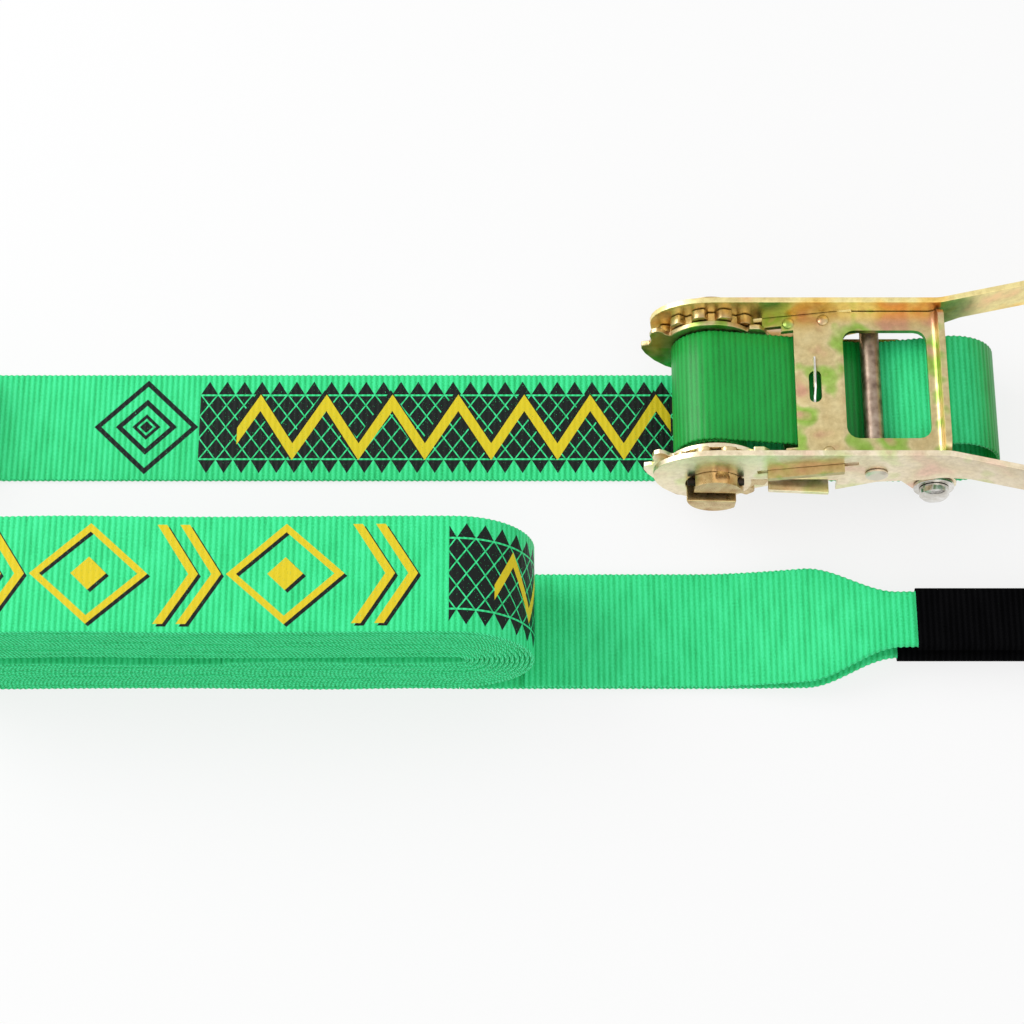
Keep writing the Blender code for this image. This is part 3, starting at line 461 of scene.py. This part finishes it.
eye_line = [(roll_line[0][0] + CLEAR, FLOOR_Z), (SPLIT_X, FLOOR_Z)]
low_end = SLEEVE_X - SLEEVE_STAGGER
for x in np.linspace(SPLIT_X, low_end, 30)[1:]:
    eye_line.append((x, FLOOR_Z + (low_z - FLOOR_Z) * ease((x - SPLIT_X) / (low_end - SPLIT_X))))
eye_line += [(x, low_z) for x in np.linspace(low_end, tip_x, 12)[1:]]
eye_line += arc((tip_x, low_z + eye_r), eye_r, -math.pi / 2, math.pi / 2, 24)[1:]
eye_line += [(x, high_z) for x in np.linspace(tip_x, SLEEVE_X, 12)[1:]]
top_z = FLOOR_Z + PITCH
for x in np.linspace(SLEEVE_X, SPLIT_X, 30)[1:]:
    eye_line.append((x, top_z + (high_z - top_z) * ease((x - SPLIT_X) / (SLEEVE_X - SPLIT_X))))
eye_line.append((SPLIT_X - SEWN_LENGTH, top_z))
eye_along = lengths_along(eye_line)
taper = SPLIT_X + (SLEEVE_X - SPLIT_X) * TAPER_SHARE
fold = [ease((p[0] - taper) / (low_end - taper)) for p in eye_line]
eye_widths = (eye_along, [WEB_WIDTH + (FOLD_WIDTH - WEB_WIDTH) * f for f in fold])
eye_thicks = (eye_along, [BODY + (FOLD_THICK - 2 * RIB_HIGH - BODY) * f for f in fold])
print("tail and eye: %.3f m" % eye_along[-1])

# %% [markdown]
# Both straps carry a print in black and yellow. The short strap has a ring of diamonds and a jagged
# black band with open lozenges and a yellow zigzag. The roll has large thin shapes with a black edge
# on one side, and one patch of the band. Every shape is a distance compared with a size, in millimetres.

# %% The print's motifs
PRINT_FROM = -0.354 - STRAP_LEFT    # in metres along the strap
PRINT_TO = -0.095 - STRAP_LEFT
BAND_START = 44.4                   # the rest in millimetres from where the print starts
DIAMOND_AT = 22.0
ROLL_PRINT_START, ROLL_PRINT_END = -40.0, 232.0
ROLL_SHAPES_END, ROLL_BAND_START, ROLL_YELLOW_START = 171.0, 182.0, 200.0
SHAPES_STEP = 77.0
SHAPES_OFFSET = 12.0
YELLOW_PERIOD, YELLOW_HIGH = 14.0, 11.5
SHADOW_ACROSS, SHADOW_ALONG = 1.1, 1.2   # how far the black lies from the yellow over it


def lozenges(a, b, pitch, half):
    """A net of open lines, with lozenges between them."""
    across = abs(a) * 0.72
    return (abs((b.fold(pitch) + across) % pitch - pitch / 2) < half) | \
        (abs((b.fold(pitch) - across) % pitch - pitch / 2) < half)


def jagged_band(a, b):
    """The black band: a row of points along both edges, and open lines inside."""
    body = (abs(a) < 14.6) & (1 - lozenges(a, b, 7.4, 0.34))
    points = (abs(a) < b.fold(3.7) * 1.7 + 15.2) & (abs(a) > 15.4)
    return body | points


def thin_diamond(a, b, centre, size, half):
    return abs(abs(a) + abs(b - centre) * 0.92 - size) < half


def zigzag(a, b, period, high, half):
    return abs(a - b.fold(period) * (2 * high / period) + high) < half


def strap_print(u, v):
    a, b = u * 1000.0, (v - PRINT_FROM) * 1000.0
    length = (PRINT_TO - PRINT_FROM) * 1000.0
    body = (b > BAND_START) & (b < length)
    middle = (b > BAND_START + 16.0) & (b < length - 15.0)
    ring = abs(a) + abs(b - DIAMOND_AT)
    rings = (abs(ring - 20.5) < 1.5) | (abs(ring - 11.5) < 1.5) | (ring < 6.0)
    rings = rings & (1 - (abs(ring - 3.4) < 0.6))
    shadow = zigzag(a - SHADOW_ACROSS, b + 0.8, YELLOW_PERIOD, YELLOW_HIGH, 5.0)
    black = (jagged_band(a, b) & body) | (shadow & middle) | rings
    yellow = zigzag(a, b, YELLOW_PERIOD, YELLOW_HIGH, 3.9) & middle
    top = abs(u) < FACE
    return black & top, yellow & top


ROLL_FLOOR_RUN, ROLL_OUTER_R = 0.1874, 0.0315
ROLL_TOP_START = ROLL_FLOOR_RUN + math.pi * ROLL_OUTER_R


def wide_shapes(a, b):
    """Two tall thin chevrons and a diamond with a solid middle, repeated along the roll."""
    step = b % SHAPES_STEP
    lean = (21.0 - abs(a)) * 0.62
    chevrons = (abs(step - 4.0 - lean) < 1.9) | (abs(step - 13.0 - lean) < 1.9)
    ring = thin_diamond(a, step, 53.0, 19.5, 1.8) | (abs(a) + abs(step - 53.0) < 7.0)
    return (chevrons & (abs(a) < 21.0)) | ring


def roll_print(u, v):
    a, b = u * 1000.0, (v - ROLL_TOP_START) * 1000.0
    on_top = (b > ROLL_PRINT_START) & (b < ROLL_PRINT_END) & (abs(u) < FACE)
    sparse = b < ROLL_SHAPES_END
    yellow = wide_shapes(a, b + SHAPES_OFFSET) & sparse
    black = wide_shapes(a + SHADOW_ACROSS, b + (SHAPES_OFFSET - SHADOW_ALONG)) & sparse
    black = black | (jagged_band(a, b) & (b > ROLL_BAND_START))
    yellow = yellow | (zigzag(a, b, 11.0, 10.0, 3.2) & (b > ROLL_YELLOW_START))
    return black & on_top, yellow & on_top


# %% The webbing's finishes
SHADE_INSET = 0.014                  # the painted shade on the bight starts and stops this far in from its ends
ALL_THE_REST = 9.0                  # longer than any strip here
green_plain = webbing_finish("green_webbing_plain")
bight_from = BIGHT[0] - STRAP_LEFT
bight_to = bight_from + BIGHT_R * (angle(off_bight, BIGHT) + math.pi / 2)
rod_from = bight_to + math.dist(off_bight, on_rod)
# The strap gets painted shade on its bight and from the cross rod on. The winding gets it all along.
green_strap = webbing_finish("green_webbing_print_band_painted_shade", strap_print,
                             shade_and_coat_spans=((bight_from + SHADE_INSET, bight_to - SHADE_INSET),
                                    (rod_from, ALL_THE_REST)))
green_wound = webbing_finish("green_webbing_wound_painted_shade", shade_and_coat_spans=((-1.0, ALL_THE_REST),))
green_roll = webbing_finish("green_webbing_print_wide", roll_print)

# %% [markdown]
# Now the strips themselves. Each one stands for its plain solid, and says how long it was cut.

# %% The ratchet strap, its spare roll and the winding
quick_step = 1
SLACK = ([0.0, 1.0], [ROLL_THICK, ROLL_THICK])
strap, strap_length = strip("strap_webbing", strap_line, STRAP_Y, RIB / 6 * quick_step)
strap.data.materials.append(green_strap)
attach(strap, "frame")
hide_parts("ratchet_strap")

spare, spare_length = strip("spare_roll_webbing", spare_line, STRAP_Y, RIB / 4 * quick_step,
                            thicks=SLACK, sway=0.0002)
spare.data.materials.append(green_plain)
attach(spare, "frame")
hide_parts("ratchet_strap_roll")

wind, wind_length = strip("winding_webbing", wind_line, STRAP_Y, RIB / 6)
wind.data.materials.append(green_wound)
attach(wind, "spindle")
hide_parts("spindle_winding")

# %% The long line: its roll, and the tail with the eye
roll, roll_length = strip("line_roll_webbing", roll_line, LINE_Y, RIB / 4 * quick_step,
                          thicks=SLACK, sway=0.00025)
roll.data.materials.append(green_roll)
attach(roll, "frame")
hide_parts("line_roll")

tail, tail_length = strip("line_tail_webbing", eye_line, LINE_Y, RIB / 6 * quick_step,
                          widths=eye_widths, thicks=eye_thicks)
tail.data.materials.append(green_plain)
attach(tail, "frame")
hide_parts("line_tail", "line_eye")

# %% [markdown]
# The sleeve is a flat black tube, drawn over the gathered line where it goes round a tree.


# %% The sleeve
SLEEVE_RIB = RIB / 1.6
SLEEVE_SWELL = 0.012                # the share by which a rib stands out
NEAR = 1e-6


def sleeve_tube(name, points, middle, outer, inner):
    """A tube with a flat oval section, open at both ends. Outer and inner are width and thickness."""
    line, at = spread_along(points, RIB / 4)
    up = normals_of(line)
    rings = []
    for width, thick in (outer, inner):
        bend, ring = thick / 2, []
        for side, first in ((1, 90), (-1, 270)):
            for turn in range(0, 181, 30):
                a = math.radians(first - turn)
                ring.append((side * (width / 2 - bend) + bend * math.cos(a), bend * math.sin(a)))
        rings.append(ring)
    size = len(rings[0])
    places, uvs = [], []
    for k, (x, z) in enumerate(line):
        swells = (1 + SLEEVE_SWELL * math.cos(2 * math.pi * at[k] / SLEEVE_RIB), 1)
        for ring, swell in zip(rings, swells):
            for y, h in ring:
                places.append((x + up[k][0] * h * swell, middle + y, z + up[k][1] * h * swell))
                uvs.append((y, at[k]))
    faces = []
    for k in range(len(line) - 1):
        for r in range(2):
            base = (k * 2 + r) * size
            for c in range(size):
                n = (c + 1) % size
                faces.append((base + c, base + n, base + n + 2 * size, base + c + 2 * size))
    for end in (0, (len(line) - 1) * 2 * size):
        for c in range(size):
            n = (c + 1) % size
            faces.append((end + c, end + n, end + n + size, end + c + size))
    mesh = bpy.data.meshes.new(name)
    mesh.from_pydata(places, [], faces)
    layer = mesh.uv_layers.new(name="strip")
    for loop in mesh.loops:
        layer.data[loop.index].uv = uvs[loop.vertex_index]
    obj = smooth_piece(name, mesh)
    mesh.set_sharp_from_angle(angle=math.radians(50.0))
    return obj


inside = [p for p in eye_line if p[0] >= low_end - NEAR]
cut = next(k for k, p in enumerate(inside) if p[1] > low_z + eye_r)
inside = inside[:cut] + [p for p in inside[cut:] if p[0] >= SLEEVE_X - NEAR]
sleeve = sleeve_tube("eye_sleeve", inside, LINE_Y,
                     (FOLD_WIDTH + 2 * CLEAR + 2 * SLEEVE_WALL, SLEEVE_THICK),
                     (FOLD_WIDTH + 2 * CLEAR, FOLD_THICK + 2 * CLEAR))
SLEEVE_TONES = (rgb(2, 2, 2), rgb(6, 6, 7), rgb(14, 14, 15))
black_sleeve = webbing_finish("black_sleeve_weave", tones=SLEEVE_TONES, gloss=0.0)
sleeve.data.materials.append(black_sleeve)
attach(sleeve, "frame")
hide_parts("line_sleeve")

# %% [markdown]
# The ratchet is pressed steel, zinc plated and passivated yellow. That finish is a pale gold with
# drifts of pink and green, as thin as an oil film, and bare at the rubbed edges.


# %% Metal finishes
WORN, CLEAN, RUBBED = rgb(206, 198, 184), rgb(255, 255, 255), rgb(232, 222, 206)


def plated(name, tones, roughness, scale=70.0, ends=None):
    """Plated steel. Beyond ends, in metres from the middle, it is rubbed bright."""
    mat, start, shader = new_material(name, Metallic=1.0)
    place = start.node("ShaderNodeTexCoord", out=3)
    drift = start.node("ShaderNodeTexNoise", None, {"Vector": place, "Scale": scale, "Detail": 1.6})
    colour = drift.node("ShaderNodeValToRGB", {"stops": tones}, {0: drift})
    grain = start.node("ShaderNodeTexNoise", None, {"Vector": place, "Scale": 1700.0, "Detail": 2.0})
    spots = start.node("ShaderNodeTexNoise", None, {"Vector": place, "Scale": 420.0, "Detail": 4.0})
    cloud = start.node("ShaderNodeTexNoise", None, {"Vector": place, "Scale": 55.0, "Detail": 2.0})
    worn = spots * 1.3 + grain * 0.5 + cloud * 0.8 - 0.55
    level = worn.node("ShaderNodeMapRange", {"clamp": True}, {0: worn, 1: 0.0, 2: 1.0})
    shade = level.mix(WORN, CLEAN)
    colour = shade.node("ShaderNodeMix", {"data_type": "RGBA", "blend_type": "MULTIPLY"},
                        {0: 1.0, 6: colour, 7: shade}, out=2)
    if ends:
        apart = place.node("ShaderNodeSeparateXYZ", None, {0: place}, out=1)
        colour = (abs(apart) > ends).mix(colour, RUBBED)
    rough = grain * 0.16 + spots * 0.14 + (roughness - 0.15)
    bump = grain.node("ShaderNodeBump", None,
                      {"Strength": 0.15, "Distance": 0.00005, "Height": grain + spots})
    feed(start, shader, Base_Color=colour, Roughness=rough, Normal=bump)
    return mat


def ramp(*stops):
    """Stops for a colour ramp, with each colour as it is seen on screen."""
    return [(place, rgb(*colour)[:3]) for place, colour in stops]


GOLD = ramp((0.30, (206, 160, 132)), (0.42, (208, 188, 138)), (0.53, (216, 200, 152)),
            (0.60, (168, 192, 104)), (0.66, (150, 186, 84)), (0.76, (208, 168, 136)))
PALE = ramp((0.30, (250, 216, 192)), (0.43, (248, 232, 198)), (0.56, (252, 238, 210)),
            (0.66, (230, 232, 176)), (0.76, (246, 212, 190)))
AMBER = ramp((0.32, (255, 214, 120)), (0.48, (255, 240, 170)), (0.60, (246, 226, 160)),
             (0.72, (255, 214, 158)))
BRASS = ramp((0.30, (186, 150, 100)), (0.50, (220, 198, 150)), (0.70, (196, 168, 124)))
ROD = ramp((0.30, (128, 108, 96)), (0.50, (168, 148, 132)), (0.70, (186, 168, 152)))
BRIGHT = ramp((0.30, (214, 212, 206)), (0.70, (240, 238, 234)))
DARK = ramp((0.30, (40, 34, 30)), (0.70, (62, 54, 48)))
zinc = plated("yellow_zinc", GOLD, 0.36, scale=75.0)
pale = plated("yellow_zinc_pale", PALE, 0.34, scale=60.0)
amber = plated("yellow_zinc_amber", AMBER, 0.34, scale=70.0)
wheel_zinc = plated("yellow_zinc_worn", BRASS, 0.30, scale=120.0)
rod_steel = plated("brown_rod_steel", ROD, 0.46, scale=260.0, ends=0.0360)
bright = plated("bright_steel", BRIGHT, 0.22, scale=90.0)
dark_steel = plated("dark_pin_steel", DARK, 0.45)

# %% [markdown]
# Pressed plates have a small round on every edge, which catches the light. Each steel piece is the
# solid's own shape with its flat faces joined up and its sharp edges bevelled.


# %% Steel pieces
SAME_POINT = 0.000002
SAME_PLANE = math.radians(0.6)
SHARP = math.radians(32.0)


def dress(node, body, finish, bevel):
    """The steel piece that stands for the solid of that node."""
    mesh = bpy.data.objects[node].data.copy()
    mesh.name = node + "_steel"
    work = bmesh.new()
    work.from_mesh(mesh)
    bmesh.ops.remove_doubles(work, verts=work.verts, dist=SAME_POINT)
    bmesh.ops.dissolve_limit(work, angle_limit=SAME_PLANE, verts=work.verts, edges=work.edges)
    work.to_mesh(mesh)
    work.free()
    obj = bpy.data.objects.new(node + "_steel", mesh)
    scene.collection.objects.link(obj)
    mesh.materials.clear()
    mesh.materials.append(finish)
    if bevel:
        round_edge = obj.modifiers.new("round_edge", "BEVEL")
        round_edge.width = bevel
        round_edge.segments = 2
        round_edge.limit_method = "ANGLE"
        round_edge.angle_limit = SHARP
        round_edge.use_clamp_overlap = True
        round_edge.harden_normals = True
    mesh.shade_smooth()
    mesh.set_sharp_from_angle(angle=SHARP)
    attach(obj, body)
    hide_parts(node)


# The solid's node, its body, its finish, its slot, and the bevel's width
STEEL = (
    ("base_plate_far", "frame", zinc, "zinc_steel", 0.0004),
    ("base_plate_near", "frame", pale, "zinc_steel", 0.0004),
    ("lock_pawl", "lock_pawl", pale, "zinc_steel", 0.0004),
    ("drive_pawl", "drive_pawl", zinc, "zinc_steel", 0.0004),
    ("handle_side_far", "handle", amber, "zinc_steel", 0.0005),
    ("handle_side_near", "handle", pale, "zinc_steel", 0.0005),
    ("grip_tube", "handle", zinc, "zinc_steel", 0.0005),
    ("ratchet_wheel_far", "spindle", wheel_zinc, "zinc_steel", 0.0006),
    ("ratchet_wheel_near", "spindle", wheel_zinc, "zinc_steel", 0.0006),
    ("spindle_half_upper", "spindle", wheel_zinc, "zinc_steel", 0.0004),
    ("spindle_half_lower", "spindle", wheel_zinc, "zinc_steel", 0.0004),
    ("cross_rod", "handle", rod_steel, "rod_steel", 0.0),
    ("grip_rod", "handle", rod_steel, "rod_steel", 0.0),
    ("anchor_sleeve", "frame", rod_steel, "rod_steel", 0.0004),
    ("anchor_bolt", "frame", bright, "bright_steel", 0.0),
    ("anchor_washer", "frame", bright, "bright_steel", 0.0003),
    ("anchor_nut", "frame", bright, "bright_steel", 0.0004),
    ("roll_pin_near", "spindle", dark_steel, "rod_steel", 0.0002),
    ("roll_pin_far", "spindle", dark_steel, "rod_steel", 0.0002),
    ("drive_pawl_spring", "drive_pawl", bright, "bright_steel", 0.0),
)
for node, body, finish, slot, bevel in STEEL:
    dress(node, body, finish, bevel)
print("%d steel pieces" % len(STEEL))

# %% [markdown]
# The drive pawl's plate slopes up to its fold, and has two round dimples on each shoulder. The solid
# has the pair by the wheels, and the second pair is added here.

# %% The pawl's second pair of dimples
PAWL_SLOPE = math.radians(12.2)
PAWL_START = SPINDLE + (0.0180, 0.0108)
PAWL_THICK = 0.0025
DIMPLE_R, DIMPLE_HIGH = 0.0026, 0.0012
DIMPLE_SUNK = 0.3                   # how deep it goes into the plate, as a share of its height
DIMPLE_Y = 0.0301
DIMPLE_ALONG = 0.0276 / math.cos(PAWL_SLOPE)   # from where the plate starts
SPOKES, RINGS = 24, 12


def dimple(name, middle):
    """A flattened ball on the top of the pawl's sloping plate, with a flat base inside the plate."""
    along = np.array((math.cos(PAWL_SLOPE), math.sin(PAWL_SLOPE)))
    upward = np.array((-along[1], along[0]))
    centre = PAWL_START + along * DIMPLE_ALONG + upward * PAWL_THICK / 2
    places = []
    for ring in range(RINGS + 1):
        turn = math.pi * ring / RINGS
        out = DIMPLE_R * math.sin(turn)
        lift = upward * max(math.cos(turn), -DIMPLE_SUNK) * DIMPLE_HIGH
        for spoke in range(SPOKES if 0 < ring < RINGS else 1):
            a = 2 * math.pi * spoke / SPOKES
            x, z = centre + along * out * math.cos(a) + lift
            places.append((x, middle + out * math.sin(a), z))
    faces, last = [], len(places) - 1
    for spoke in range(SPOKES):
        nxt = (spoke + 1) % SPOKES
        faces.append((0, 1 + spoke, 1 + nxt))
        for ring in range(RINGS - 2):
            base = 1 + ring * SPOKES
            faces.append((base + spoke, base + spoke + SPOKES, base + nxt + SPOKES, base + nxt))
        faces.append((last, last - SPOKES + nxt, last - SPOKES + spoke))
    mesh = bpy.data.meshes.new(name)
    mesh.from_pydata(places, [], faces)
    return smooth_piece(name, mesh)


for side, sign in (("far", 1), ("near", -1)):
    piece = dimple("pawl_dimple_" + side, sign * DIMPLE_Y)
    piece.data.materials.append(zinc)
    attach(piece, "drive_pawl")

# %% [markdown]
# The floor and backdrop are plain white, and the light comes soft from the upper left.

# %% Floor and light
floor_mesh = bpy.data.meshes.new("floor")
FLOOR_HALF = 6.0
FLOOR_DROP = 0.0002                 # just under what lies on it
corners = [(x * FLOOR_HALF, y * FLOOR_HALF, 0) for x, y in ((-1, -1), (1, -1), (1, 1), (-1, 1))]
floor_mesh.from_pydata(corners, [], [(0, 1, 2, 3)])
floor = bpy.data.objects.new("floor", floor_mesh)
floor.location = (0, 0, -FLOOR_DROP)
scene.collection.objects.link(floor)
floor_finish, _, floor_shader = new_material("floor_white", Roughness=0.9, Specular_IOR_Level=0.1)
floor_shader.inputs["Base Color"].default_value = (0.14, 0.14, 0.14, 1)
floor_shader.inputs["Emission Color"].default_value = (1.0, 1.0, 1.0, 1)
floor_shader.inputs["Emission Strength"].default_value = 0.78
floor_mesh.materials.append(floor_finish)


def lamp(name, place, energy, size):
    """A round lamp at place, measured from the view centre, that faces the view centre."""
    data = bpy.data.lights.new(name, "AREA")
    data.energy = energy
    data.shape = "DISK"
    data.size = size
    obj = bpy.data.objects.new(name, data)
    obj.location = AIM + Vector(place)
    obj.rotation_euler = Vector(place).to_track_quat("Z", "Y").to_euler()
    scene.collection.objects.link(obj)


lamp("key", (-1.2, 0.45, 0.90), 17.0, 1.1)
lamp("fill", (0.5, -1.2, 1.4), 6.0, 1.6)

SKY_LIGHT = 0.92
SKY_SEEN = 0.08                     # added where the camera sees the backdrop itself
world = bpy.data.worlds.new("studio")
scene.world = world
world.use_nodes = True
sky = world.node_tree.nodes["Background"]
rays = world.node_tree.nodes.new("ShaderNodeLightPath")
world_start = Val(world.node_tree, rays.outputs["Is Camera Ray"])
strength = world_start * SKY_SEEN + SKY_LIGHT
world.node_tree.links.new(strength.socket, sky.inputs["Strength"])
sky.inputs["Color"].default_value = (1, 1, 1, 1)
